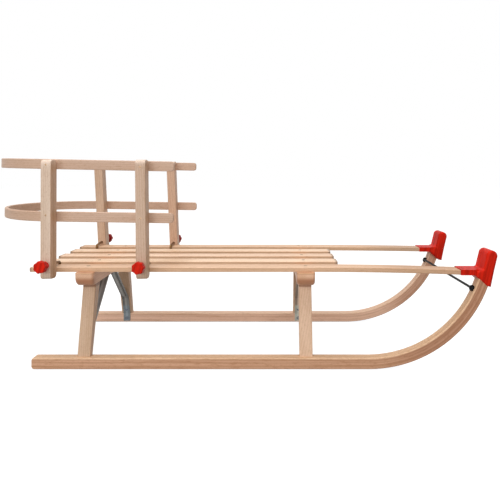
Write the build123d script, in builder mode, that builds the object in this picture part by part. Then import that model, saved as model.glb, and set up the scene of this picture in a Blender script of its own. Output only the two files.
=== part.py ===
from build123d import *
import math
import os

os.makedirs("parts", exist_ok=True)

# A wooden bow-runner sled with a clamp-on bent-wood backrest.
# +X is the front, +Z is up, Z = 0 is the underside of the steel shoes.
# X = 0 is half way between the backrest's rear bend and the fronts of the caps.
# "left" is +Y.  All lengths are millimetres.

# ---------------------------------------------------------------- driving sizes
track_half = 170.0          # outer face of a runner from the middle
runner_w = 22.0             # runner, across
runner_h = 24.0             # runner, up and down
shoe_t = 1.5                # steel shoe under the runner
shoe_w = 12.0
runner_rear = -424.0
bend_x = 296.0              # where the runner starts to bend up
bend_r = 269.0              # radius of the bend at the sole
tip_drop = 22.7             # the runner's tip below the seat's top

seat_z = 215.0              # top of the seat
slat_t = 10.0
slat_w = 36.0
rail_half = 154.0           # outer face of an outer rail from the middle
rail_rear = -436.0
slat_rear = -433.0
rail_short = 46.4           # the rails' front ends behind the runners' tips
rail_bow_x = 190.0          # from here the outer rails bow out to the caps
rail_bow = 9.0
rail_drop = 4.5             # the front end of the rail below its rear
slat_front = 240.0

leg_xs = (-314.7, 161.7)    # rear and front trestle
leg_w = 28.0
leg_top_out = rail_half - 24.0
leg_top_in = leg_top_out - 27.0
leg_foot_in = track_half - runner_w
leg_foot_out = track_half - 7.0
crossbar_w = 39.0
crossbar_h = 30.0
crossbar_half = rail_half + 10.0
crossbar_round = 20.0
tenon_l = 12.0
tenon_fit = 0.1

post_xs = (-387.3, -186.5)  # rear and front posts, at seat height
post_x = 22.0
post_y = 29.0
post_low = 20.0             # below the seat's top
post_high = 233.0           # above the seat's top
slide_gap = 0.3             # between the sliding backrest and the outer rails
lean_in = 0.066
lean_back = 0.028
hoop_h = 22.0
hoop_t = 8.0
hoop_ahead = 60.5           # the hoops' front ends ahead of the front posts
hoop_tops = (230.3, 117.3)  # front end's top edge above the seat, upper and lower hoop
hoop_backs = (-23.7, -7.7)  # where the rear bend starts, from the rear posts
hoop_slopes = (0.020, 0.0145)
hoop_edge = 2.0
bolt_d = 6.0
bolt_zs = (seat_z + 11.5, seat_z + 9.6)  # rear and front, at the knob's outer face
knob_d = 26.0
knob_t = 14.0               # grip of the knob
knob_out = 29.0             # the grip's outer face from the post
end_round = 9.0

rod_d = 5.5
rod_back = 7.0              # degrees of the bend from the runner's tip back to the rod

seat_under = seat_z - slat_t
crossbar_z = seat_under - crossbar_h
runner_z = shoe_t + runner_h
bend_z = shoe_t + bend_r
tip_z = seat_z - tip_drop
bend_deg = math.degrees(math.acos((bend_z - tip_z) / bend_r))
tip_x = bend_x + bend_r * math.sin(math.radians(bend_deg))
rail_front = tip_x - rail_short
cap_outer = track_half + 2.5


def side_name(side):
    return "left" if side > 0 else "right"


def end_name(index):
    return ("rear", "front")[index]


def save(part, name):
    part.label = name
    export_step(part, "parts/" + name + ".step")


def xz(y):
    # a drawing plane across the sled: local x is +X, local y is +Z, thickness runs to -Y
    return Plane(origin=(0, y, 0), x_dir=(1, 0, 0), z_dir=(0, -1, 0))


def yz(x):
    # a drawing plane along the sled: local x is +Y, local y is +Z, thickness runs to +X
    return Plane(origin=(x, 0, 0), x_dir=(0, 1, 0), z_dir=(1, 0, 0))


def arc_point(radius, degrees):
    a = math.radians(degrees)
    return (bend_x + radius * math.sin(a), bend_z - radius * math.cos(a))


# ---------------------------------------------------------------- runners
mortise_y = (leg_foot_in + leg_foot_out) / 2
for side in (1, -1):
    near_y = min(side * track_half, side * (track_half - runner_w))
    with BuildPart() as runner:
        with BuildSketch(xz(near_y + runner_w)):
            with BuildLine():
                r_in = bend_r - runner_h
                low_tip = arc_point(bend_r, bend_deg)
                high_tip = arc_point(r_in, bend_deg)
                Line((runner_rear, shoe_t), (bend_x, shoe_t))
                ThreePointArc((bend_x, shoe_t), arc_point(bend_r, bend_deg / 2), low_tip)
                Line(low_tip, high_tip)
                ThreePointArc(high_tip, arc_point(r_in, bend_deg / 2), (bend_x, runner_z))
                Line((bend_x, runner_z), (runner_rear, runner_z))
                Line((runner_rear, runner_z), (runner_rear, shoe_t))
            make_face()
        extrude(amount=runner_w)
        fillet(runner.edges().filter_by(Axis.Y).group_by(Axis.X)[0], radius=6)
        fillet(runner.edges().filter_by(lambda e: e.length > 4 * runner_h), radius=2)
        for x in leg_xs:
            with Locations((x, side * mortise_y, runner_z - tenon_l / 2)):
                Box(leg_w - 8, 10, tenon_l, mode=Mode.SUBTRACT)
    save(runner.part, "runner_" + side_name(side))
    with BuildPart() as shoe:
        with BuildSketch(xz(side * (track_half - runner_w / 2) + shoe_w / 2)):
            with BuildLine():
                r_out = bend_r + shoe_t
                shoe_deg = bend_deg - 10
                a = arc_point(r_out, shoe_deg)
                b = arc_point(bend_r, shoe_deg)
                Line((runner_rear + 8, 0), (bend_x, 0))
                ThreePointArc((bend_x, 0), arc_point(r_out, shoe_deg / 2), a)
                Line(a, b)
                ThreePointArc(b, arc_point(bend_r, shoe_deg / 2), (bend_x, shoe_t))
                Line((bend_x, shoe_t), (runner_rear + 8, shoe_t))
                Line((runner_rear + 8, shoe_t), (runner_rear + 8, 0))
            make_face()
        extrude(amount=shoe_w)
    save(shoe.part, "shoe_" + side_name(side))
    if side > 0:
        runner_left = runner
    else:
        runner_right = runner

# ---------------------------------------------------------------- trestles
top_mid = (leg_top_out + leg_top_in) / 2
for index, x in enumerate(leg_xs):
    for side in (1, -1):
        with BuildPart() as leg:
            with BuildSketch(yz(x - leg_w / 2)):
                Polygon(
                    (side * leg_top_out, crossbar_z),
                    (side * leg_top_in, crossbar_z),
                    (side * leg_foot_in, runner_z),
                    (side * leg_foot_out, runner_z),
                    align=None,
                )
            extrude(amount=leg_w)
            upright = leg.edges().filter_by(lambda e: abs(e.tangent_at(0.5).Z) > 0.9)
            fillet(upright, radius=2)
            with Locations((x, side * mortise_y, runner_z - tenon_l / 2 + tenon_fit)):
                Box(leg_w - 8 - 2 * tenon_fit, 10 - 2 * tenon_fit, tenon_l)
            with Locations((x, side * top_mid, crossbar_z + tenon_l / 2)):
                Box(leg_w - 8 - 2 * tenon_fit, 16 - 2 * tenon_fit, tenon_l)
        save(leg.part, "leg_" + end_name(index) + "_" + side_name(side))
    with BuildPart() as crossbar:
        with BuildSketch(yz(x - crossbar_w / 2)) as bar:
            with Locations((0, crossbar_z + crossbar_h / 2)):
                Rectangle(2 * crossbar_half, crossbar_h)
            fillet(bar.vertices().group_by(Axis.Y)[0], radius=crossbar_round)
        extrude(amount=crossbar_w)
        faces = crossbar.faces().filter_by(Axis.X)
        outline = faces[0].edges() + faces[-1].edges()
        top_z = crossbar_z + crossbar_h
        fillet(outline.filter_by(lambda e: e.center().Z < top_z - 1), radius=6)
        fillet(crossbar.edges().filter_by(lambda e: e.center().Z > top_z - 0.1), radius=1.5)
        for side in (1, -1):
            with Locations((x, side * top_mid, crossbar_z + tenon_l / 2 + tenon_fit)):
                Box(leg_w - 8, 16, tenon_l + 2 * tenon_fit, mode=Mode.SUBTRACT)
    save(crossbar.part, "crossbar_" + end_name(index))

# ---------------------------------------------------------------- seat
bow_len = rail_front - rail_bow_x
for side in (1, -1):
    y_in = rail_half - slat_w
    with BuildPart() as rail:
        with BuildSketch(Plane.XY.offset(seat_under - 10)):
            with BuildLine():
                mid_bow = rail_bow / 4
                x_mid = rail_bow_x + bow_len / 2
                Line((rail_rear, side * rail_half), (rail_bow_x, side * rail_half))
                ThreePointArc(
                    (rail_bow_x, side * rail_half),
                    (x_mid, side * (rail_half + mid_bow)),
                    (rail_front, side * (rail_half + rail_bow)),
                )
                Line((rail_front, side * (rail_half + rail_bow)), (rail_front, side * (y_in + rail_bow)))
                ThreePointArc(
                    (rail_front, side * (y_in + rail_bow)),
                    (x_mid, side * (y_in + mid_bow)),
                    (rail_bow_x, side * y_in),
                )
                Line((rail_bow_x, side * y_in), (rail_rear, side * y_in))
                Line((rail_rear, side * y_in), (rail_rear, side * rail_half))
            make_face()
        extrude(amount=30)
        with BuildSketch(xz(cap_outer)):
            with BuildLine():
                mid_drop = rail_drop / 4
                Line((rail_rear, seat_z), (rail_bow_x, seat_z))
                ThreePointArc((rail_bow_x, seat_z), (x_mid, seat_z - mid_drop), (rail_front, seat_z - rail_drop))
                Line((rail_front, seat_z - rail_drop), (rail_front, seat_under - rail_drop))
                ThreePointArc(
                    (rail_front, seat_under - rail_drop),
                    (x_mid, seat_under - mid_drop),
                    (rail_bow_x, seat_under),
                )
                Line((rail_bow_x, seat_under), (rail_rear, seat_under))
                Line((rail_rear, seat_under), (rail_rear, seat_z))
            make_face()
        extrude(amount=2 * cap_outer, mode=Mode.INTERSECT)
        fillet(rail.edges().filter_by(lambda e: e.length > 2 * slat_w), radius=1.5)
        fillet(rail.edges().filter_by(Axis.Y).group_by(Axis.X)[0], radius=3)
    save(rail.part, "rail_" + side_name(side))
    if side > 0:
        rail_left = rail
    else:
        rail_right = rail

pitch = (rail_half - slat_w / 2) / 2
for name, y in (("slat_left", pitch), ("slat_middle", 0.0), ("slat_right", -pitch)):
    with BuildPart() as slat:
        with Locations(((slat_rear + slat_front) / 2, y, seat_z - slat_t / 2)):
            Box(slat_front - slat_rear, slat_w, slat_t)
        fillet(slat.edges().filter_by(Axis.X), radius=2)
        fillet(slat.edges().filter_by(Axis.Y), radius=2)
    save(slat.part, name)

# ---------------------------------------------------------------- caps
cap_inner = rail_half - slat_w + rail_bow - 3.0
cap_rear = rail_front - 14.0
cap_round = 5.0
arm_wall = 2.5
arm_top = seat_z - rail_drop + 2.0
arm_low = seat_under - rail_drop
for side in (1, -1):
    near_y = min(side * cap_outer, side * cap_inner)
    arm_mid = side * (rail_half + rail_bow - slat_w / 2)
    with BuildPart() as cap:
        with BuildSketch(xz(near_y + cap_outer - cap_inner)):
            with BuildLine():
                nose_low = (tip_x + 1, tip_z - 15.8)
                nose_front = (tip_x + 15, tip_z + 47.5)
                nose_back = (tip_x - 7.6, tip_z + 51.2)
                Polyline(nose_low, (tip_x + 4.2, tip_z), (tip_x + 8.4, tip_z + 20), nose_front)
                TangentArc(nose_front, nose_back, tangent=(6.6, 27.5))
                Polyline(
                    nose_back,
                    (tip_x - 14.6, seat_z),
                    (tip_x - 28, seat_z - 6),
                    (tip_x - 29.1, tip_z + 6),
                    (tip_x - 8, tip_z - 14),
                    nose_low,
                )
            make_face()
        extrude(amount=cap_outer - cap_inner)
        fillet(cap.faces().filter_by(Axis.Y).edges(), radius=cap_round)
        with Locations(((cap_rear + tip_x - 10) / 2, arm_mid, (arm_top + arm_low) / 2)):
            Box(tip_x - 10 - cap_rear, slat_w + 2 * arm_wall, arm_top - arm_low)
        arm_end = cap.faces().sort_by(Axis.X)[0]
        fillet(arm_end.edges().filter_by(Axis.Z), radius=2)
        if side > 0:
            add(runner_left.part, mode=Mode.SUBTRACT)
            add(rail_left.part, mode=Mode.SUBTRACT)
        else:
            add(runner_right.part, mode=Mode.SUBTRACT)
            add(rail_right.part, mode=Mode.SUBTRACT)
    save(cap.part, "cap_" + side_name(side))

# ---------------------------------------------------------------- tow rod
rod_deg = bend_deg - rod_back
rod_face = arc_point(bend_r - runner_h, rod_deg)
rod_dir = (-math.sin(math.radians(rod_deg)), math.cos(math.radians(rod_deg)))
rod_off = 3.5
button_d = 13.0
button_h = 7.0
rod_x = rod_face[0] + rod_off * rod_dir[0]
rod_z = rod_face[1] + rod_off * rod_dir[1]
rod_y = track_half - runner_w / 2
buttons = []
for side in (1, -1):
    base = Plane(
        origin=(rod_face[0], side * rod_y, rod_face[1]),
        x_dir=(0, 1, 0),
        z_dir=(rod_dir[0], 0, rod_dir[1]),
    )
    with BuildPart() as button:
        with BuildSketch(base.offset(-1)):
            Circle(button_d / 2)
        extrude(amount=button_h + 1)
        top = button.faces().sort_by_distance(base.offset(button_h).origin)[0]
        fillet(top.edges(), radius=4.5)
    buttons.append(button)
with BuildPart() as rod:
    with BuildSketch(xz(rod_y)):
        with Locations((rod_x, rod_z)):
            Circle(rod_d / 2)
    extrude(amount=2 * rod_y)
    for button in buttons:
        add(button.part)
    add(runner_left.part, mode=Mode.SUBTRACT)
    add(runner_right.part, mode=Mode.SUBTRACT)
save(rod.part, "tow_rod")

# ---------------------------------------------------------------- straps
strap_t = 2.0
strap_w = 18.0
strap_pad = 6.0             # inner end of the flat pad under the crossbar
strap_bend = 25.0           # where the stay leaves the crossbar
strap_join_z = 72.0         # where the stay meets the leg
strap_foot_z = 5.0
rib_w = 9.0
rib_h = 4.0
rib_ramp = 20.0


def leg_inner(z):
    share = (z - runner_z) / (crossbar_z - runner_z)
    return leg_foot_in + (leg_top_in - leg_foot_in) * share


join = leg_inner(strap_join_z)
stay_run = math.hypot(join - strap_bend, crossbar_z - strap_join_z)


def stay_point(side, along, below):
    # a point on the sloping stay: along it from the crossbar, and below its upper face
    drop = (crossbar_z - strap_join_z) / stay_run
    out = (join - strap_bend) / stay_run
    y = strap_bend + along * out - below * drop
    return (side * y, crossbar_z - along * drop - below * out)


for index, x in enumerate(leg_xs):
    for side in (1, -1):
        with BuildPart() as strap:
            with BuildSketch(yz(x - strap_w / 2)):
                Polygon(
                    (side * strap_pad, crossbar_z),
                    (side * strap_bend, crossbar_z),
                    (side * join, strap_join_z),
                    (side * leg_foot_in, runner_z),
                    (side * leg_foot_in, strap_foot_z),
                    (side * (leg_foot_in - strap_t), strap_foot_z),
                    (side * (leg_foot_in - strap_t), runner_z - 0.3),
                    (side * (join - strap_t), strap_join_z - 0.9),
                    (side * (strap_bend - 0.7), crossbar_z - strap_t),
                    (side * strap_pad, crossbar_z - strap_t),
                    align=None,
                )
            extrude(amount=strap_w)
            with BuildSketch(yz(x - rib_w / 2)):
                Polygon(
                    stay_point(side, 8, 0.5 * strap_t),
                    stay_point(side, stay_run - 8, 0.5 * strap_t),
                    stay_point(side, stay_run - rib_ramp, strap_t + rib_h),
                    stay_point(side, rib_ramp, strap_t + rib_h),
                    align=None,
                )
            extrude(amount=rib_w)
            crest = strap.edges().filter_by(lambda e: abs(e.length - (stay_run - 2 * rib_ramp)) < 0.5)
            fillet(crest, radius=3)
        save(strap.part, "strap_" + end_name(index) + "_" + side_name(side))

# ---------------------------------------------------------------- backrest hoops
post_inner = rail_half + slide_gap


def post_plane(x, side):
    y = side * (post_inner + post_y / 2)
    return Plane(
        origin=(x, y, seat_z),
        x_dir=(1, 0, lean_back),
        z_dir=(-lean_back, -side * lean_in, 1),
    )


def post_face(z, inner):
    base = post_inner if inner else post_inner + post_y
    return base - lean_in * (z - seat_z)


def hoop(top_front, bend_centre, slope):
    z_mid = top_front - hoop_h / 2
    near_out = -(post_face(z_mid, True) + 0.6)
    far_out = post_face(z_mid, False) - 0.6 + hoop_t
    mid = (near_out + far_out) / 2
    r = (far_out - near_out) / 2
    a = math.atan(slope)
    flat = Plane(
        origin=(post_xs[1], 0, top_front - hoop_h),
        x_dir=(math.cos(a), 0, -math.sin(a)),
        z_dir=(math.sin(a), 0, math.cos(a)),
    )
    x_end = hoop_ahead
    x_bend = bend_centre - post_xs[1]
    with BuildPart() as ring:
        with BuildSketch(flat):
            with BuildLine():
                Line((x_end, near_out), (x_bend, near_out))
                ThreePointArc((x_bend, near_out), (x_bend - r, mid), (x_bend, far_out))
                Line((x_bend, far_out), (x_end, far_out))
                Line((x_end, far_out), (x_end, far_out - hoop_t))
                Line((x_end, far_out - hoop_t), (x_bend, far_out - hoop_t))
                ThreePointArc(
                    (x_bend, far_out - hoop_t),
                    (x_bend - r + hoop_t, mid),
                    (x_bend, near_out + hoop_t),
                )
                Line((x_bend, near_out + hoop_t), (x_end, near_out + hoop_t))
                Line((x_end, near_out + hoop_t), (x_end, near_out))
            make_face()
        extrude(amount=hoop_h)
        ends = ring.edges().filter_by(Axis.Y).group_by(Axis.X)
        fillet(ends[-1] + ends[-2], radius=7)
        fillet(ring.edges().filter_by(lambda e: e.length > 4 * hoop_h), radius=hoop_edge)
    return ring


hoop_upper = hoop(seat_z + hoop_tops[0], post_xs[0] + hoop_backs[0], hoop_slopes[0])
save(hoop_upper.part, "hoop_upper")
hoop_lower = hoop(seat_z + hoop_tops[1], post_xs[0] + hoop_backs[1], hoop_slopes[1])
save(hoop_lower.part, "hoop_lower")

# ---------------------------------------------------------------- posts, bolts, knobs
for index, x in enumerate(post_xs):
    for side in (1, -1):
        tag = end_name(index) + "_" + side_name(side)
        post_out = post_face(bolt_zs[index], False)
        outer_end = (x, side * (post_out + knob_out), bolt_zs[index])

        def axis_z(y):
            # height of the bolt's axis, square to the leaning post, at a distance y from the middle
            return bolt_zs[index] - lean_in * (post_out + knob_out - y)

        with BuildPart() as post:
            with BuildSketch(post_plane(x, side).offset(-post_low)):
                Rectangle(post_x, post_y)
            extrude(amount=post_low + post_high)
            tips = post.edges().filter_by(lambda e: abs(e.length - post_x) < 0.01)
            fillet(tips, radius=end_round)
            fillet(post.edges().filter_by(lambda e: e.length > post_high / 2), radius=1.5)
            add(hoop_upper.part, mode=Mode.SUBTRACT)
            add(hoop_lower.part, mode=Mode.SUBTRACT)
            with BuildSketch(Plane(origin=outer_end, z_dir=(0, -side, -lean_in))):
                Circle(bolt_d / 2)
            extrude(amount=knob_out + post_y + 20, mode=Mode.SUBTRACT)
        save(post.part, "post_" + tag)
        hook_y = rail_half - slat_w - slide_gap - bolt_d / 2
        reach = post_out + knob_t + 2
        with BuildPart() as bolt:
            with BuildLine() as path:
                a = (x, side * reach, axis_z(reach))
                b = (x, side * hook_y, axis_z(hook_y))
                c = (x, side * hook_y, seat_under + 1)
                FilletPolyline(a, b, c, radius=5)
            with BuildSketch(Plane(origin=a, z_dir=(0, -side, -lean_in))):
                Circle(bolt_d / 2)
            sweep(path=path.line)
        save(bolt.part, "hook_bolt_" + tag)
        with BuildPart() as knob:
            hub = Plane(origin=outer_end, x_dir=(1, 0, 0), z_dir=(0, side, lean_in))
            with BuildSketch(hub.offset(-knob_t)):
                Circle(knob_d / 2 - 1.3)
                with PolarLocations(knob_d / 2 - 4.6, 7):
                    Circle(4.6)
            extrude(amount=knob_t)
            rim = knob.faces().sort_by(Axis.Y)
            fillet((rim[-1] if side > 0 else rim[0]).edges(), radius=2.5)
            with BuildSketch(hub.offset(-knob_out + 0.3)):
                Circle(7.5)
            extrude(amount=knob_out - knob_t - 0.3)
            with BuildSketch(hub.offset(-knob_out)):
                Circle(bolt_d / 2)
            extrude(amount=knob_t + 4, mode=Mode.SUBTRACT)
        save(knob.part, "knob_" + tag)
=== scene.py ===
import math

import bmesh
import bpy
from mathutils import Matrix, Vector


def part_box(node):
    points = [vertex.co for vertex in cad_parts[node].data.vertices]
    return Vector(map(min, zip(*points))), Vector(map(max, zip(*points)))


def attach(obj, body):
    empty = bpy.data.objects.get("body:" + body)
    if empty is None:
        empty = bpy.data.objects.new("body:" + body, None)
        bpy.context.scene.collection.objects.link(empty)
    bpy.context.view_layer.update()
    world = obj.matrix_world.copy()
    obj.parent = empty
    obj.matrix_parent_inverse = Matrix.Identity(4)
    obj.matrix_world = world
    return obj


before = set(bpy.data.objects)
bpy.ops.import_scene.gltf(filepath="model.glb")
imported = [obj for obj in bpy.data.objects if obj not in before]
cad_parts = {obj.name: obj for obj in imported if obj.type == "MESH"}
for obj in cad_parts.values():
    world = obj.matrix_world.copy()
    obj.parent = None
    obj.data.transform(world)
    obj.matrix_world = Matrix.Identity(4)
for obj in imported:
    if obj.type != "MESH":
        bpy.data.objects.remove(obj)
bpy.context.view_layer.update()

# ---------------------------------------------------------------- runners
# Two bars of beech, steamed and bent up at the front on a former, so that the grain follows the bend.
# They are planed, eased along their edges and finished with a thin satin lacquer.


class Field:
    """One output of a shader node, so that shader maths reads as arithmetic."""

    def __init__(self, finish, socket):
        self.finish = finish
        self.socket = socket

    def math(self, operation, *others):
        values = dict(enumerate((self, *others)))
        return self.finish.node("ShaderNodeMath", {"operation": operation}, values)

    def __add__(self, other):
        return self.math("ADD", other)

    def __radd__(self, other):
        return self.math("ADD", other)

    def __sub__(self, other):
        return self.math("SUBTRACT", other)

    def __rsub__(self, other):
        return self.finish.node("ShaderNodeMath", {"operation": "SUBTRACT"}, {0: other, 1: self})

    def __mul__(self, other):
        return self.math("MULTIPLY", other)

    def __rmul__(self, other):
        return self.math("MULTIPLY", other)

    def __truediv__(self, other):
        return self.math("DIVIDE", other)

    def __pow__(self, other):
        return self.math("POWER", other)

    def ramp(self, low, high, at_low=0.0, at_high=1.0):
        values = {"Value": self, "From Min": low, "From Max": high, "To Min": at_low, "To Max": at_high}
        settings = {"interpolation_type": "SMOOTHSTEP"}
        return self.finish.node("ShaderNodeMapRange", settings, values, "Result")


class Finish:
    """A material that is built up from nodes."""

    def __init__(self, name):
        self.material = bpy.data.materials.new(name)
        self.material.use_nodes = True
        self.tree = self.material.node_tree
        self.shader = self.tree.nodes["Principled BSDF"]

    def node(self, kind, settings=None, sockets=None, output=0):
        made = self.tree.nodes.new(kind)
        for key, value in (settings or {}).items():
            setattr(made, key, value)
        for key, value in (sockets or {}).items():
            self.feed(made.inputs[key], value)
        return Field(self, made.outputs[output])

    def feed(self, socket, value):
        if isinstance(value, Field):
            self.tree.links.new(value.socket, socket)
        elif socket.type == "RGBA":
            socket.default_value = (*value, 1)
        else:
            socket.default_value = value

    def surface(self, **values):
        for key, value in values.items():
            self.feed(self.shader.inputs[key.replace("_", " ")], value)

    def place(self, turn=(0, 0, 0)):
        """The point in the object's own coordinates, turned about the origin."""
        point = self.node("ShaderNodeTexCoord", output="Object")
        return self.node("ShaderNodeMapping", {}, {"Vector": point, "Rotation": turn})

    def parts(self, vector):
        split = self.node("ShaderNodeSeparateXYZ", {}, {"Vector": vector}).socket.node
        return [Field(self, output) for output in split.outputs]

    def join(self, x, y, z):
        return self.node("ShaderNodeCombineXYZ", {}, {"X": x, "Y": y, "Z": z})

    def noise(self, vector, scale=1.0, detail=2.0, roughness=0.5):
        sockets = {"Vector": vector, "Scale": scale, "Detail": detail, "Roughness": roughness}
        return self.node("ShaderNodeTexNoise", {}, sockets)

    def mix(self, share, first, second, blend="MIX"):
        """The first colour where the share is 0, and the second where it is 1."""
        settings = {"data_type": "RGBA", "blend_type": blend}
        factor_at, first_at, second_at, colour_out = 0, 6, 7, 2
        sockets = {factor_at: share, first_at: first, second_at: second}
        return self.node("ShaderNodeMix", settings, sockets, colour_out)

    def bump(self, height, strength, distance):
        sockets = {"Height": height, "Strength": strength, "Distance": distance}
        return self.node("ShaderNodeBump", {}, sockets)


def srgb(red, green, blue):
    shares = [channel / 255 for channel in (red, green, blue)]
    return tuple(c / 12.92 if c <= 0.04045 else ((c + 0.055) / 1.055) ** 2.4 for c in shares)


def toned(colour, *factors):
    """The colour times one factor, or times one for each channel, with no channel past 1."""
    if len(factors) == 1:
        factors = factors * 3
    return tuple(min(1, channel * factor) for channel, factor in zip(colour, factors))


def wood(
    name,
    colour,
    seed,
    turn=(0, 0, 0),
    bend=None,
    rings=0.0045,
    contrast=1.0,
    lines=(),
    lit_and_shaded=None,
    ends=None,
    darker=None,
):
    """Steamed beech. The grain runs along X after the turn, or round the bend.

    rings: width of an annual ring
    lines: growth lines on the sides, and on the crossbars a painted shadow under the boards, as (height,
    half width, darkness)
    lit_and_shaded: (low, high, colour) of the part above a height in a tone of its own: a lighter top as
    painted light, or on the posts the faces beside a front of painted shade
    ends: (first, last, depth, colour, full below, none above) of a tone at the ends: darker at the
    boards' ends, painted shade with dark end grain low on the crossbars' ends, and a painted highlight
    on the posts' tips
    darker: (start, stop, factor) along the grain
    """
    finish = Finish(name)
    along, across, up = finish.parts(finish.place(turn))
    if bend:
        along, across, up = bend(along, across, up)
    # annual rings of a log whose heart lies below and beside the board, and a little askew
    heart_beside = 0.045 + 0.01 * (seed % 3)
    heart_below = 0.03 + 0.02 * (seed % 2)
    waver = finish.noise(finish.join(along * 2.2 + seed, across * 9, up * 9))
    beside = across + heart_beside + (waver - 0.5) * 0.012
    below = up + heart_below + along * 0.012
    reach = (beside * beside + below * below) ** 0.5
    phase = (reach / rings + seed).math("FRACT")
    late = phase.ramp(0.45, 0.96) * phase.ramp(0.97, 1.0, 1.0, 0.0)
    # broad bands of lighter and darker heartwood along the board
    place = finish.join(along * 1.6 + 3 * seed, across * 38, up * 38)
    band = finish.noise(place, detail=3.0, roughness=0.6).ramp(0.30, 0.72)
    # fine fibres, the short dark flecks of the rays, and a mottle between the two in size
    place = finish.join(along * 26 + seed, across * 620, up * 620)
    fibre = finish.noise(place, detail=3.0, roughness=0.65)
    place = finish.join(along * 230, across * 1500 + seed, up * 1500)
    fleck = finish.noise(place, detail=1.0).ramp(0.60, 0.70)
    place = finish.join(along * 70, across * 320 + seed, up * 320)
    mottle = finish.noise(place, roughness=0.6).ramp(0.52, 0.68)

    # how dark the wood is at each place, from 0 to 1
    share = band * 0.45 + late * 0.26 * contrast + (fibre - 0.5) * 0.42 * contrast
    share = share + mottle * 0.5 * (contrast - 0.8)
    for height, half, darkness in lines:
        wander = finish.noise(finish.join(along * 6 + height * 700, seed, 0.0))
        strength = finish.noise(finish.join(along * 11, height * 900, seed)).ramp(0.25, 0.6, 0.4, 1.0)
        off = (up - height + (wander - 0.5) * 0.004).math("ABSOLUTE")
        share = share + off.ramp(0.0, half, darkness, 0.0) * strength
    share = share.math("MAXIMUM", 0.0).math("MINIMUM", 1.0)

    def grain(base):
        return finish.mix(share, toned(base, 1.10, 1.12, 1.14), toned(base, 0.78, 0.69, 0.58))

    tone = grain(colour)
    if darker:
        start, stop, factor = darker
        tone = finish.mix(along.ramp(start, stop), tone, factor, blend="MULTIPLY")
    # painted light and shade: a lighter top, or the faces beside a darker front
    if lit_and_shaded:
        low, high, lit_colour = lit_and_shaded
        tone = finish.mix(up.ramp(low, high), tone, grain(lit_colour))
    if ends:
        first, last, deep, end_colour, full, none = ends
        inward = (along - first).math("MINIMUM", last - along)
        ragged = inward + (fibre - 0.5) * deep
        at_end = ragged.ramp(0.0, deep, 0.8, 0.0) * up.ramp(full, none, 1.0, 0.0)
        tone = finish.mix(at_end, tone, end_colour)
    tone = finish.mix(fleck * 0.34 * contrast, tone, toned(colour, 0.62, 0.50, 0.38))
    bump = finish.bump(fibre * 0.6 + late * 0.2 - fleck * 0.4, strength=0.16, distance=0.0004)
    finish.surface(Base_Color=tone, Roughness=0.46 + fibre * 0.14 + fleck * 0.1, Normal=bump)
    finish.surface(Coat_Weight=0.12, Coat_Roughness=0.32, IOR=1.45)
    return finish.material


def dress(name, material):
    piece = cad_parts[name]
    piece.data.materials.clear()
    piece.data.materials.append(material)


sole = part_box("runner_right")[0].z
bend_start = 0.296
bend_radius = 0.269


def round_the_bend(along, across, up):
    """Distance along the bent bar, and height from its outer face."""
    ahead = (along - bend_start).math("MAXIMUM", 0.0)
    fall = (sole + bend_radius) - up
    angle = ahead.math("ARCTAN2", fall)
    behind = (along - bend_start).math("MINIMUM", 0.0)
    distance = (ahead * ahead + fall * fall) ** 0.5
    return behind + angle * bend_radius, across, bend_radius - distance


runner_top = (0.0208, 0.0220)  # heights between which the side gives way to the top
runner_lines = (  # height, half width and darkness of each growth line
    (0.0195, 0.0013, 0.8),
    (0.0145, 0.0014, 0.45),
    (0.0105, 0.0016, -0.45),
    (0.0065, 0.0018, 0.5),
    (0.0010, 0.0022, 0.6),
)
runners = (  # name, seed, side's colour, top's factor of painted light, strength of the grain, where the bend darkens
    ("runner_right", 1, srgb(211, 163, 130), (1.22, 1.42, 1.44), 1.0, (0.0, 0.14, (0.80, 0.73, 0.71))),
    # painted light: the left runner's side colour is paler than the right runner's
    ("runner_left", 6, srgb(242, 199, 172), (1.06, 1.10, 1.09), 0.7, (0.09, 0.19, (0.69, 0.60, 0.54))),
)
for name, seed, side_tone, top_light_lift, strength, darker in runners:
    finish = wood(
        "beech_" + name,
        side_tone,
        seed,
        bend=round_the_bend,
        contrast=1.8 * strength,
        lines=[(height, half, strength * darkness) for height, half, darkness in runner_lines],
        # the top is a lighter copy of the side's colour: painted light
        lit_and_shaded=(*runner_top, toned(side_tone, *top_light_lift)),
        darker=darker,
    )
    dress(name, finish)

# ---------------------------------------------------------------- shoes
# Flat mild-steel strips under the runners, bent with them and held by countersunk screws.
# They are rubbed bright in streaks along their length, with some brown rust left in patches.


def bare_steel(name, colour, seed):
    finish = Finish(name)
    along, across, up = finish.parts(finish.place())
    place = finish.join(along * 9 + seed, across * 900, up * 60)
    streak = finish.noise(place, detail=3.0, roughness=0.7)
    place = finish.join(along * 22, across * 60, up * 22)
    patch = finish.noise(place, detail=3.0, roughness=0.6)
    rust = patch.ramp(0.60, 0.74) * streak.ramp(0.35, 0.65)
    steel = finish.mix(streak, toned(colour, 0.72), toned(colour, 1.2))
    tone = finish.mix(rust * 0.55, steel, srgb(118, 82, 60))
    rough = 0.28 + streak * 0.16 + rust * 0.25
    bump = finish.bump(streak, strength=0.18, distance=0.0003)
    finish.surface(Base_Color=tone, Metallic=1 - rust * 0.6, Roughness=rough, Normal=bump)
    return finish.material


for seed, name in ((2, "shoe_right"), (5, "shoe_left")):
    dress(name, bare_steel("steel_" + name, srgb(150, 152, 156), seed))


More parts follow.
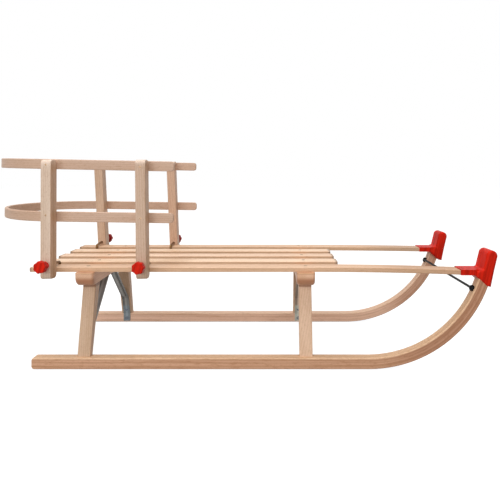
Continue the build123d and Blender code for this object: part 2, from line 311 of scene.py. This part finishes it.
def screw_head(name, recess):
    """A countersunk head one unit across, facing +Z, with a cross or a plain dished middle."""
    steps = 24
    rim = ((0.5, -0.10), (0.5, 0.0), (0.46, 0.035), (0.40, 0.045))  # radius and height
    middle_height = 0.055
    floor_share, floor_height = (0.86, -0.09) if recess else (0.6, 0.07)
    angles = [2 * math.pi * step / steps for step in range(steps)]
    mesh = bmesh.new()

    def ring(radii, height):
        made = []
        for radius, angle in zip(radii, angles):
            made.append(mesh.verts.new((radius * math.cos(angle), radius * math.sin(angle), height)))
        return made

    middle = [0.12 + 0.20 * abs(math.cos(2 * angle)) ** 3 if recess else 0.30 for angle in angles]
    loops = [ring([radius] * steps, height) for radius, height in rim]
    loops.append(ring(middle, middle_height))
    loops.append(ring([radius * floor_share for radius in middle], floor_height))
    for low, high in zip(loops, loops[1:]):
        for step in range(steps):
            after = (step + 1) % steps
            mesh.faces.new((low[step], low[after], high[after], high[step]))
    mesh.faces.new(loops[-1])
    mesh.faces.new(list(reversed(loops[0])))
    data = bpy.data.meshes.new(name)
    mesh.to_mesh(data)
    mesh.free()
    head = bpy.data.objects.new(name, data)
    bpy.context.scene.collection.objects.link(head)
    return head


def fastener_tree(name, head, finish):
    """Sets a head on every point of a mesh, facing the way that the point's facing says."""
    tree = bpy.data.node_groups.new(name, "GeometryNodeTree")
    for label, way, kind in (
        ("Places", "INPUT", "Geometry"),
        ("Head Diameter", "INPUT", "Float"),
        ("Turn Seed", "INPUT", "Int"),
        ("Heads", "OUTPUT", "Geometry"),
    ):
        tree.interface.new_socket(label, in_out=way, socket_type="NodeSocket" + kind)

    def add(kind, **settings):
        made = tree.nodes.new(kind)
        for setting, value in settings.items():
            setattr(made, setting, value)
        return made

    start = add("NodeGroupInput")
    facing = add("GeometryNodeInputNamedAttribute", data_type="FLOAT_VECTOR")
    facing.inputs["Name"].default_value = "facing"
    tilt = add("FunctionNodeAlignRotationToVector", axis="Z")
    spin = add("FunctionNodeRandomValue", data_type="FLOAT")
    spin.inputs[2].default_value = 0.0  # least and most turn of a head
    spin.inputs[3].default_value = math.pi
    about = add("FunctionNodeAxisAngleToRotation")
    about.inputs["Axis"].default_value = (0, 0, 1)
    turn = add("FunctionNodeRotateRotation", rotation_space="LOCAL")
    source = add("GeometryNodeObjectInfo")
    source.inputs["Object"].default_value = head
    points = add("GeometryNodeMeshToPoints")
    placed = add("GeometryNodeInstanceOnPoints")
    real = add("GeometryNodeRealizeInstances")
    paint = add("GeometryNodeSetMaterial")
    paint.inputs["Material"].default_value = finish
    end = add("NodeGroupOutput")
    link = tree.links.new
    link(start.outputs["Places"], points.inputs["Mesh"])
    link(facing.outputs["Attribute"], tilt.inputs["Vector"])
    link(start.outputs["Turn Seed"], spin.inputs["Seed"])
    link(spin.outputs[1], about.inputs["Angle"])
    link(tilt.outputs["Rotation"], turn.inputs["Rotation"])
    link(about.outputs["Rotation"], turn.inputs["Rotate By"])
    link(points.outputs["Points"], placed.inputs["Points"])
    link(source.outputs["Geometry"], placed.inputs["Instance"])
    link(turn.outputs["Rotation"], placed.inputs["Rotation"])
    link(start.outputs["Head Diameter"], placed.inputs["Scale"])
    link(placed.outputs["Instances"], real.inputs["Geometry"])
    link(real.outputs["Geometry"], paint.inputs["Geometry"])
    link(paint.outputs["Geometry"], end.inputs["Heads"])
    return tree


def fasten(name, tree, places, diameter, seed, body):
    """One plain mesh of heads: places are (point, outward direction) pairs."""
    data = bpy.data.meshes.new(name + "_places")
    data.from_pydata([tuple(point) for point, _ in places], [], [])
    facing = data.attributes.new("facing", "FLOAT_VECTOR", "POINT")
    facing.data.foreach_set("vector", [c for _, way in places for c in Vector(way).normalized()])
    holder = bpy.data.objects.new(name + "_places", data)
    bpy.context.scene.collection.objects.link(holder)
    modifier = holder.modifiers.new("heads", "NODES")
    modifier.node_group = tree
    sockets = {item.name: item.identifier for item in tree.interface.items_tree}
    modifier[sockets["Head Diameter"]] = diameter
    modifier[sockets["Turn Seed"]] = seed
    evaluated = holder.evaluated_get(bpy.context.evaluated_depsgraph_get())
    mesh = bpy.data.meshes.new_from_object(evaluated)
    mesh.name = name
    piece = bpy.data.objects.new(name, mesh)
    bpy.context.scene.collection.objects.link(piece)
    bpy.data.objects.remove(holder)
    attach(piece, body)


def screw_steel(name, colour):
    finish = Finish(name)
    grime = finish.noise(finish.place(), scale=900)
    tone = finish.mix(grime.ramp(0.35, 0.7) * 0.5, colour, toned(colour, 0.45))
    finish.surface(Base_Color=tone, Metallic=1.0, Roughness=0.34 + grime * 0.2)
    return finish.material


crossed = screw_head("crossed_head", True)
zinc_screws = fastener_tree("zinc_screws", crossed, screw_steel("zinc_screw", srgb(92, 97, 108)))

shoe_low, shoe_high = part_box("shoe_right")
shoe_middle = abs(shoe_low.y + shoe_high.y) / 2
shoe_thick = 0.0015
first_screw, screw_spacing = 0.03, 0.13  # along the flat of the shoe, from its rear end
sunk_flat, sunk_bend = 0.00025, 0.00015  # how far the heads' rims lie inside the shoe's face
shoe_screws = []
for side in (1, -1):
    y = side * shoe_middle
    for step in range(6):
        point = (shoe_low.x + first_screw + step * screw_spacing, y, sunk_flat)
        shoe_screws.append((point, (0, 0, -1)))
    for degrees in (14, 34, 54):
        angle = math.radians(degrees)
        reach = bend_radius + shoe_thick - sunk_bend
        point = (bend_start + reach * math.sin(angle), y, sole + bend_radius - reach * math.cos(angle))
        shoe_screws.append((point, (math.sin(angle), 0, -math.cos(angle))))
fasten("shoe_screws", zinc_screws, shoe_screws, diameter=0.006, seed=3, body="sled")

# ---------------------------------------------------------------- trestles
# Two beech crossbars, each on a pair of splayed legs that are tenoned into it and into the runners.
# The crossbars are turned under at their ends, where the end grain shows, with painted shade on the
# lower part of each end.

upright = (0, math.pi / 2, 0)
crosswise = (0, 0, math.pi / 2)
leg_tones = (srgb(204, 171, 142), srgb(223, 186, 156))
bar_tones = (srgb(222, 178, 146), srgb(232, 186, 152))
crossbar_shadow = (0.1655, 0.1692, (0.56, 0.43, 0.35))  # painted shadow of the crossbar on each leg, from just under the crossbar up
end_depth = 0.026
end_shade_heights = (0.187, 0.199)  # heights over which the painted shade and dark end grain on the crossbars' ends stops
for index, end in enumerate(("rear", "front")):
    for side, hand in ((1, "left"), (-1, "right")):
        name = "leg_%s_%s" % (end, hand)
        seed = 3 + 4 * index + side
        tone = leg_tones[index]
        # a painted shadow of the crossbar darkens the top of each leg
        finish = wood("beech_" + name, tone, seed, turn=upright, contrast=1.2, darker=crossbar_shadow)
        dress(name, finish)
    name = "crossbar_" + end
    low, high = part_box(name)
    finish = wood(
        "beech_" + name,
        bar_tones[index],
        4 + index,
        turn=crosswise,
        rings=0.0035,
        # a painted shadow under the boards along the crossbar's top edge
        lines=((high.z - 0.001, 0.003, 0.9),),
        # painted shade, with some dark end grain, on the lower part of each end
        ends=(low.y, high.y, end_depth, srgb(164, 98, 58), *end_shade_heights),
    )
    dress(name, finish)

# ---------------------------------------------------------------- straps
# Pressed strips of zinc-plated sheet with a rib down the middle, which brace each leg from crossbar
# to runner. They are screwed up into the crossbar and sideways into the runner's inner face.


def zinc_sheet(name, foot_tone, stay_tone, rib_at):
    """Zinc-plated sheet: one tone below the bend, one on the sloping stay, a painted highlight down the
    pressed ridge, and painted shade on the stay's flank behind it.
    """
    finish = Finish(name)
    place = finish.place()
    along, across, up = finish.parts(place)
    cloud = finish.noise(place, scale=46, detail=3.0, roughness=0.6)
    grain = finish.noise(place, scale=957)
    off = along - rib_at
    # a painted highlight along the rib
    rib_highlight = off.math("ABSOLUTE").ramp(0.0012, 0.0035, 1.0, 0.0)
    share = cloud.ramp(0.3, 0.7) * 0.4 + grain * 0.25 + rib_highlight * 0.6

    def sheet(colour):
        return finish.mix(share, toned(colour, 0.66), toned(colour, 1.25))

    sloping = up.ramp(0.046, 0.054)
    tone = finish.mix(sloping, sheet(foot_tone), sheet(stay_tone))
    # painted shade on the stay's flank behind the rib
    rib_flank_shade = off.ramp(-0.0036, -0.0022, 1.0, 0.0) * sloping
    tone = finish.mix(rib_flank_shade * 0.7, tone, toned(stay_tone, 0.4))
    bump = finish.bump(grain, strength=0.12, distance=0.0003)
    finish.surface(Base_Color=tone, Metallic=0.6, Roughness=0.42 + cloud * 0.14, Normal=bump)
    return finish.material


strap_tones = {  # the foot, and the sloping stay, warmer and browner on the left straps as painted shade
    "strap_rear_left": (srgb(118, 126, 130), srgb(124, 122, 118)),
    "strap_front_left": (srgb(168, 168, 156), srgb(176, 154, 136)),
    "strap_rear_right": (srgb(162, 164, 165), srgb(162, 164, 165)),
    "strap_front_right": (srgb(162, 164, 165), srgb(162, 164, 165)),
}
sheet_thick = 0.0021  # with a hair of room, so that the heads stand clear of the sheet
pad_middle = 0.009  # from the strap's inner end
foot_heights = (0.0125, 0.0385)
foot_slope = (0.0040, 0.3)  # how far inward the sheet lies at the upper foot screw, and its facing up
strap_screws = []
foot_screws = []
for end in ("rear", "front"):
    for side, hand in ((1, "left"), (-1, "right")):
        tag = "strap_%s_%s" % (end, hand)
        low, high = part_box(tag)
        middle = (low.x + high.x) / 2
        dress(tag, zinc_sheet("zinc_" + tag, *strap_tones[tag], middle))
        pad = side * (min(abs(low.y), abs(high.y)) + pad_middle)
        strap_screws.append(((middle, pad, high.z - sheet_thick), (0, 0, -1)))
        face = side * (max(abs(low.y), abs(high.y)) - sheet_thick)
        foot_screws.append(((middle, face, foot_heights[0]), (0, -side, 0)))
        inward, facing_up = foot_slope
        foot_screws.append(((middle, face - side * inward, foot_heights[1]), (0, -side, facing_up)))
for name, places, diameter, seed in (
    ("strap_screws_top", strap_screws, 0.009, 4),
    ("strap_screws_foot", foot_screws, 0.0085, 8),
):
    fasten(name, zinc_screws, places, diameter, seed, body="sled")

# ---------------------------------------------------------------- seat
# Two long outer rails, which bow out to the front caps, and three shorter slats between them.
# Each is a planed beech board with eased edges, held to each crossbar by one sunk screw.

seat_top = 0.215
board_half = 0.018  # of the width of a board
seat_tone = srgb(228, 190, 158)
# the sides are a darker, warmer copy of the seat's tone as painted shade, and the tops a lighter copy as
# painted light
shaded_edge_tone = toned(seat_tone, 0.88, 0.83, 0.77)
all_heights = (1.0, 1.1)  # above everything, so that the tone at the ends reaches any height
boards = (  # name, seed, top's factor of painted light, where the side darkens
    ("rail_right", 2, (1.0, 1.0, 1.0), (0.20, 0.42, (0.88, 0.86, 0.85))),
    ("slat_right", 5, (1.18, 1.28, 1.38), None),
    ("slat_middle", 8, (1.10, 1.17, 1.26), None),
    ("slat_left", 11, (1.18, 1.28, 1.38), None),
    ("rail_left", 14, (0.97, 0.97, 0.97), (0.30, 0.47, (0.83, 0.86, 0.90))),
)
seat_screws = []
for name, seed, top_light_factor, darker in boards:
    lit_top_tone = toned(toned(seat_tone, *top_light_factor), 1.02)
    low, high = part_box(name)
    finish = wood(
        "beech_" + name,
        shaded_edge_tone,
        seed,
        rings=0.006,
        contrast=1.3,
        lit_and_shaded=(seat_top - 0.0018, seat_top - 0.0002, lit_top_tone),
        # the boards darken over their last 9 mm at each end
        ends=(low.x, high.x, 0.009, srgb(120, 96, 82), *all_heights),
        darker=darker,
    )
    dress(name, finish)
    y = (low.y + high.y) / 2
    if name.startswith("rail"):
        y = math.copysign(min(abs(low.y), abs(high.y)) + board_half, y)
    for bar in ("crossbar_rear", "crossbar_front"):
        bar_low, bar_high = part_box(bar)
        point = ((bar_low.x + bar_high.x) / 2, y, seat_top - 0.0001)
        seat_screws.append((point, (0, 0, 1)))
browned_screws = fastener_tree("seat_screws", crossed, screw_steel("browned_screw", srgb(176, 142, 108)))
fasten("seat_screws", browned_screws, seat_screws, diameter=0.0085, seed=5, body="sled")

# ---------------------------------------------------------------- caps
# Red moulded caps that join each runner's tip to the front end of its rail.
# The moulding is smooth and a little wavy, with darker streaks where it flowed and a few scuffs.

cap_lean = -0.235  # radians


def red_plastic(name, colour, seed):
    finish = Finish(name)
    place = finish.place((0, cap_lean, 0))
    along, across, up = finish.parts(place)
    flow = finish.noise(finish.join(along * 210 + seed, across * 90, up * 12))
    wave = finish.noise(place, scale=60)
    scuff = finish.noise(finish.join(along * 300, across * 300, up * 1200)).ramp(0.62, 0.72)
    tone = finish.mix(flow.ramp(0.3, 0.7), toned(colour, 0.72), toned(colour, 1.12))
    tone = finish.mix(scuff * 0.05, tone, srgb(220, 70, 46))
    bump = finish.bump(flow + wave * 0.6, strength=0.25, distance=0.0008)
    finish.surface(Base_Color=tone, Roughness=0.30 + wave * 0.16 + scuff * 0.1, Normal=bump)
    finish.surface(Specular_IOR_Level=0.05)
    return finish.material


red = srgb(213, 37, 19)
for seed, name in ((1, "cap_right"), (4, "cap_left")):
    dress(name, red_plastic("red_" + name, red, seed))

# ---------------------------------------------------------------- tow rod
# A black-painted steel rod between the runners' tips, which the tow rope is tied to.
# It has a round button at each end, and its paint is a little worn.

paint = Finish("black_paint")
wear = paint.noise(paint.place(), scale=320, detail=3.0, roughness=0.6).ramp(0.58, 0.78)
tone = paint.mix(wear * 0.5, srgb(14, 14, 16), srgb(58, 56, 56))
paint.surface(Base_Color=tone, Roughness=0.42 + wear * 0.25, Specular_IOR_Level=0.10)
dress("tow_rod", paint.material)

# ---------------------------------------------------------------- hoops
# Two flat beech strips, steamed and bent round the back in a half circle, so that their grain
# follows the curve. They pass inside the right posts and outside the left ones.


def round_the_back(low, high):
    """Makes the path of a hoop that fills the box from low to high."""
    radius = (high.y - low.y) / 2
    start = low.x + radius
    middle = (high.y + low.y) / 2

    def path(along, across, up):
        behind = (start - along).math("MAXIMUM", 0.0)
        ahead = (along - start).math("MAXIMUM", 0.0)
        out = across - middle
        side = out.math("SIGN")
        angle = behind.math("ARCTAN2", out * side)
        distance = (behind * behind + out * out) ** 0.5
        return (ahead - angle * radius) * side, radius - distance, up

    return path


hoop_tone = srgb(207, 174, 151)
for seed, name in ((3, "hoop_upper"), (7, "hoop_lower")):
    path = round_the_back(*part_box(name))
    finish = wood("beech_" + name, hoop_tone, seed, bend=path, rings=0.004, contrast=1.4)
    dress(name, finish)

# ---------------------------------------------------------------- posts
# Four upright beech posts with rounded tips, which carry a painted highlight, leaning in and back a
# little.
# Each hoop is held to each post by one wire nail, at the middle of the post's outer face.

lean_in, lean_back = 0.066, 0.028
half_post = 0.011  # of the post's depth, front to back
post_outer = 0.154 + 0.0003 + 0.029  # half the rails' width, the clamp's gap and the post's width
post_places = {"rear": -0.3873, "front": -0.1865}  # at the seat's height
post_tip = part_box("post_rear_right")[1].z
tip_highlight_depths = {"rear": 0.020, "front": 0.015}
tip_highlight_tone = srgb(240, 216, 198)
far_below = -1.0  # so that only the tip counts as an end
post_tones = {  # the faces, and the front face, darker on the right posts as painted shade
    "post_rear_right": (srgb(217, 192, 171), srgb(206, 170, 140)),
    "post_rear_left": (srgb(216, 184, 157), srgb(216, 184, 157)),
    "post_front_right": (srgb(201, 170, 146), srgb(201, 168, 140)),
    "post_front_left": (srgb(216, 179, 152), srgb(216, 179, 152)),
}
for index, end in enumerate(("rear", "front")):
    for side, hand in ((1, "left"), (-1, "right")):
        name = "post_%s_%s" % (end, hand)
        seed = 5 + 3 * index + 2 * side
        face_tone, shaded_front_tone = post_tones[name]
        # turned upright, the height in the grain runs backward from the front face
        front_face = -(post_places[end] + half_post + lean_back * seat_top)
        tip = post_tip - lean_back * post_places[end]
        finish = wood(
            "beech_" + name,
            shaded_front_tone,
            seed,
            turn=(0, math.pi / 2 + lean_back, 0),
            contrast=1.3,
            # the front face keeps the front tone, darker on the right posts as painted shade
            lit_and_shaded=(front_face + 0.0004, front_face + 0.0012, face_tone),
            # a painted highlight on each post's rounded tip
            ends=(far_below, tip, tip_highlight_depths[end], tip_highlight_tone, *all_heights),
        )
        dress(name, finish)

plain = screw_head("plain_head", False)
wire_nails = fastener_tree("wire_nails", plain, screw_steel("nail_steel", srgb(166, 136, 106)))
nail_heights = {"rear": (0.437, 0.330), "front": (0.432, 0.323)}  # upper and lower hoop
nails = []
for end in ("rear", "front"):
    for side in (1, -1):
        for height in nail_heights[end]:
            rise = height - seat_top
            face = post_outer - lean_in * rise + 0.0001
            place = (post_places[end] - lean_back * rise, side * face, height)
            nails.append((place, (0, side, lean_in)))
fasten("hoop_nails", wire_nails, nails, diameter=0.0040, seed=6, body="backrest")

# ---------------------------------------------------------------- bolts and knobs
# Yellow-zinc hook bolts that reach through the posts and hook over the rails' inner edges.
# Red star knobs draw them tight from outside.

yellow = Finish("yellow_zinc")
place = yellow.place()
tint = yellow.noise(place, scale=210).ramp(0.35, 0.65)
tone = yellow.mix(tint, srgb(108, 78, 48), srgb(138, 102, 66))
dull = yellow.noise(place, scale=700).ramp(0.5, 0.75)
tone = yellow.mix(dull * 0.5, tone, srgb(92, 70, 44))
yellow.surface(Base_Color=tone, Metallic=1.0, Roughness=0.36 + dull * 0.2)
# painted shade: the left knobs' red is darker than the right ones'
knob_reds_with_shade = {"left": srgb(176, 26, 18), "right": red}
for end in ("rear", "front"):
    for hand in ("left", "right"):
        tag = end + "_" + hand
        dress("hook_bolt_" + tag, yellow.material)
        dress("knob_" + tag, red_plastic("red_knob_" + tag, knob_reds_with_shade[hand], 2))

# ---------------------------------------------------------------- stage
# A plain pale floor, a white surround, soft lamps and the camera.
# Floor and surround look white, and light the sled more softly and warmly than they look.

floor_mesh = bpy.data.meshes.new("floor")
floor_mesh.from_pydata([(-9, -9, 0), (9, -9, 0), (9, 9, 0), (-9, 9, 0)], [], [(0, 1, 2, 3)])
floor = bpy.data.objects.new("floor", floor_mesh)
bpy.context.scene.collection.objects.link(floor)
floor_finish = Finish("floor")
rays = floor_finish.node("ShaderNodeLightPath").socket.node.outputs
seen = Field(floor_finish, rays["Is Camera Ray"])
for kind in ("Is Glossy Ray", "Is Transmission Ray"):
    seen = seen.math("MAXIMUM", Field(floor_finish, rays[kind]))
floor_finish.surface(Base_Color=(0.30, 0.30, 0.295), Roughness=0.9)
matt = Field(floor_finish, floor_finish.shader.outputs[0])
glow = floor_finish.node("ShaderNodeEmission", {}, {"Color": (1, 1, 1), "Strength": 0.88})
dark = floor_finish.node("ShaderNodeEmission", {}, {"Color": (0, 0, 0), "Strength": 0.0})
extra = floor_finish.node("ShaderNodeMixShader", {}, {0: seen, 1: dark, 2: glow})
both = floor_finish.node("ShaderNodeAddShader", {}, {0: matt, 1: extra})
floor_finish.feed(floor_finish.tree.nodes["Material Output"].inputs["Surface"], both)
floor_mesh.materials.append(floor_finish.material)

world = bpy.data.worlds.new("surround")
bpy.context.scene.world = world
world.use_nodes = True
air = world.node_tree
rays = air.nodes.new("ShaderNodeLightPath").outputs
direct = rays["Is Camera Ray"]
for kind in ("Is Glossy Ray", "Is Transmission Ray"):
    larger = air.nodes.new("ShaderNodeMath")
    larger.operation = "MAXIMUM"
    air.links.new(direct, larger.inputs[0])
    air.links.new(rays[kind], larger.inputs[1])
    direct = larger.outputs[0]
ambient = air.nodes["Background"]
white = air.nodes.new("ShaderNodeBackground")
for background, colour, strength in ((ambient, (1, 0.90, 0.80, 1), 0.24), (white, (1, 1, 1, 1), 1.0)):
    background.inputs["Color"].default_value = colour
    background.inputs["Strength"].default_value = strength
choose = air.nodes.new("ShaderNodeMixShader")
air.links.new(direct, choose.inputs[0])
air.links.new(ambient.outputs[0], choose.inputs[1])
air.links.new(white.outputs[0], choose.inputs[2])
air.links.new(choose.outputs[0], air.nodes["World Output"].inputs["Surface"])


def lamp(name, place, aim, size, power, colour):
    data = bpy.data.lights.new(name, "AREA")
    data.shape = "DISK"
    data.size = size
    data.energy = power
    data.color = colour
    made = bpy.data.objects.new(name, data)
    made.location = place
    made.rotation_euler = (Vector(aim) - Vector(place)).to_track_quat("-Z", "Y").to_euler()
    bpy.context.scene.collection.objects.link(made)


lamp("key", (-1.3, -2.6, 1.5), aim=(0, 0, 0.2), size=2.2, power=33, colour=(0.97, 1.0, 1.03))
lamp("fill", (0.3, -2.6, 0.8), aim=(0, 0, 0.1), size=1.2, power=15, colour=(0.98, 1.0, 1.02))
lamp("top", (-0.3, 0.0, 3.0), aim=(0, 0, 0.2), size=3.0, power=64, colour=(1.0, 1.0, 1.0))

eye = bpy.data.objects.new("camera", bpy.data.cameras.new("camera"))
bpy.context.scene.collection.objects.link(eye)
eye.location = (0.087, -1.1937, 0.4302)
eye.rotation_euler = (math.pi / 2, 0, 0)
eye.data.sensor_width = 36
eye.data.lens = 34.66
eye.data.shift_x = -0.0426
eye.data.shift_y = -0.1643
bpy.context.scene.camera = eye
bpy.context.scene.view_settings.view_transform = "Standard"

for head in (crossed, plain):
    bpy.data.objects.remove(head)
